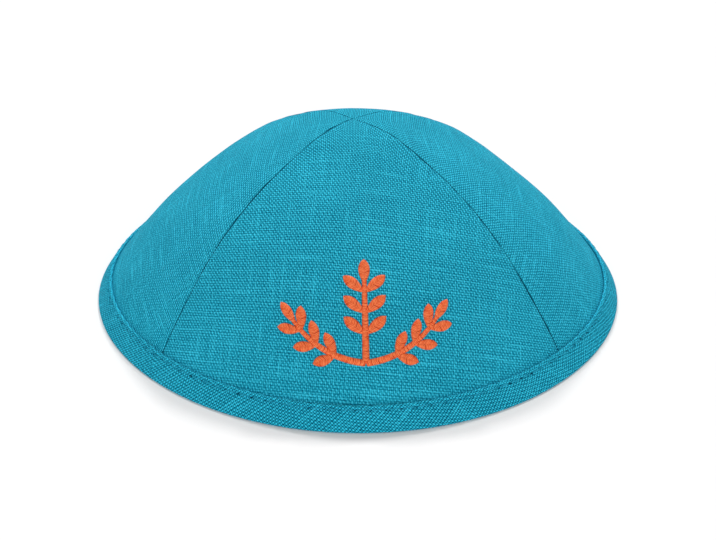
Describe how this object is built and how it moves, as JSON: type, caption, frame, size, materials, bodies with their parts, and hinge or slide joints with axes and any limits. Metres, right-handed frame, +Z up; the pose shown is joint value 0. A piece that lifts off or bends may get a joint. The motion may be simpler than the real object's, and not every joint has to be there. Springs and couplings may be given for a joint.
{
  "type": "kippah skullcap",
  "caption": "Domed skullcap sewn from cloth gores that meet at the tip, with a folded binding round the rim and raised embroidery on the front.",
  "frame": {"origin": "on the surface that the rim rests on, at the centre of the rim circle", "axes": "+Z up through the tip of the cap, -Y to the embroidered front, +X to the right as seen from the front"},
  "size_m": [0.18, 0.18, 0.0607],
  "materials": {
    "linen": "matte plain-weave linen, teal blue, with slubs",
    "binding_linen": "matte plain-weave linen cut on the bias, teal blue",
    "embroidery_thread": "satin-stitched thread with a soft sheen, orange"
  },
  "bodies": {
    "root": {"panel_front": "linen", "panel_right": "linen", "panel_back": "linen", "panel_left": "linen", "rim_band": "binding_linen", "embroidered_sprig": "embroidery_thread"}
  },
  "joints": []
}
